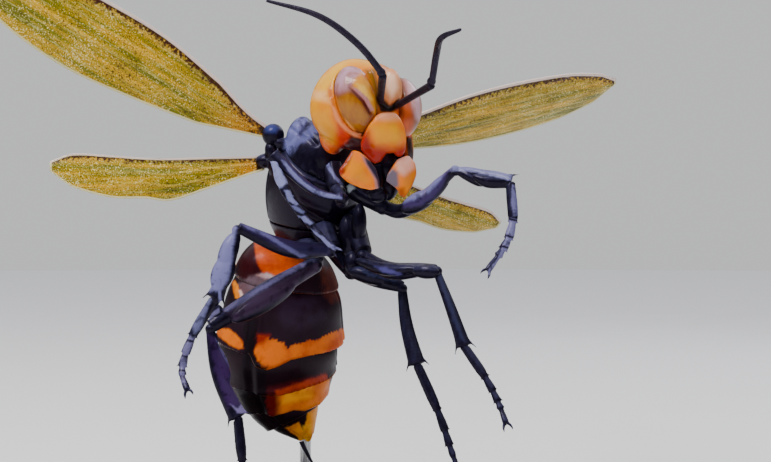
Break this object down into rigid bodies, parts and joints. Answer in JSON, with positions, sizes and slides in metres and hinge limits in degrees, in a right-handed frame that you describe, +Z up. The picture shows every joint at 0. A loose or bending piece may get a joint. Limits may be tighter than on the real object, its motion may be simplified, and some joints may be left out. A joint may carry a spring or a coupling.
{
  "type": "hornet figure",
  "caption": "Hand-painted giant hornet display figure, about three times life size, wings spread and legs hanging, held up by a flat base with a bent rod.",
  "frame": {"origin": "centre of the stand base's underside", "axes": "+Z up out of the base; -Y towards the viewer that the figure's face and belly turn to; +X to that viewer's right"},
  "size_m": [0.2083, 0.1144, 0.1846],
  "materials": {
    "orange_paint": "resin painted glossy orange-yellow, shaded red in the recesses",
    "eye_paint": "resin eye painted glossy amber-brown",
    "dark_violet_paint": "resin painted satin blue-black with a violet sheen",
    "dark_brown_paint": "resin painted satin dark brown with orange borders",
    "amber_membrane": "thin translucent amber plastic with raised veins and a fine glittering grain",
    "stand_steel": "plain satin steel rod",
    "stand_black": "plain matte black"
  },
  "bodies": {
    "root": {"abdomen_segment_1": "orange_paint", "abdomen_segment_2": "dark_brown_paint", "abdomen_segment_3": "dark_brown_paint", "abdomen_segment_4": "orange_paint", "abdomen_segment_5": "dark_brown_paint", "abdomen_segment_6": "orange_paint", "antenna_flagellum_left": "dark_violet_paint", "antenna_flagellum_right": "dark_violet_paint", "antenna_scape_left": "dark_violet_paint", "antenna_scape_right": "dark_violet_paint", "clypeus": "orange_paint", "eye_left": "eye_paint", "eye_right": "eye_paint", "foreleg_left_coxa": "dark_violet_paint", "foreleg_left_femur": "dark_violet_paint", "foreleg_left_foot": "dark_violet_paint", "foreleg_left_tibia": "dark_violet_paint", "foreleg_right_coxa": "dark_violet_paint", "foreleg_right_femur": "dark_violet_paint", "foreleg_right_foot": "dark_violet_paint", "foreleg_right_tibia": "dark_violet_paint", "forewing_left": "amber_membrane", "forewing_right": "amber_membrane", "head": "orange_paint", "hindleg_left_coxa": "dark_violet_paint", "hindleg_left_femur": "dark_violet_paint", "hindleg_left_foot": "dark_violet_paint", "hindleg_left_tibia": "dark_violet_paint", "hindleg_right_coxa": "dark_violet_paint", "hindleg_right_femur": "dark_violet_paint", "hindleg_right_foot": "dark_violet_paint", "hindleg_right_tibia": "dark_violet_paint", "hindwing_left": "amber_membrane", "hindwing_right": "amber_membrane", "mandible_left": "orange_paint", "mandible_right": "orange_paint", "mesonotum": "dark_violet_paint", "mesothorax": "dark_violet_paint", "midleg_left_coxa": "dark_violet_paint", "midleg_left_femur": "dark_violet_paint", "midleg_left_foot": "dark_violet_paint", "midleg_left_tibia": "dark_violet_paint", "midleg_right_coxa": "dark_violet_paint", "midleg_right_femur": "dark_violet_paint", "midleg_right_foot": "dark_violet_paint", "midleg_right_tibia": "dark_violet_paint", "mouthparts": "dark_violet_paint", "neck": "dark_violet_paint", "pronotum": "dark_violet_paint", "propodeum": "dark_violet_paint", "stand_base": "stand_black", "stand_rod": "stand_steel", "sting": "dark_brown_paint", "tegula_left": "dark_violet_paint", "tegula_right": "dark_violet_paint"}
  },
  "joints": []
}
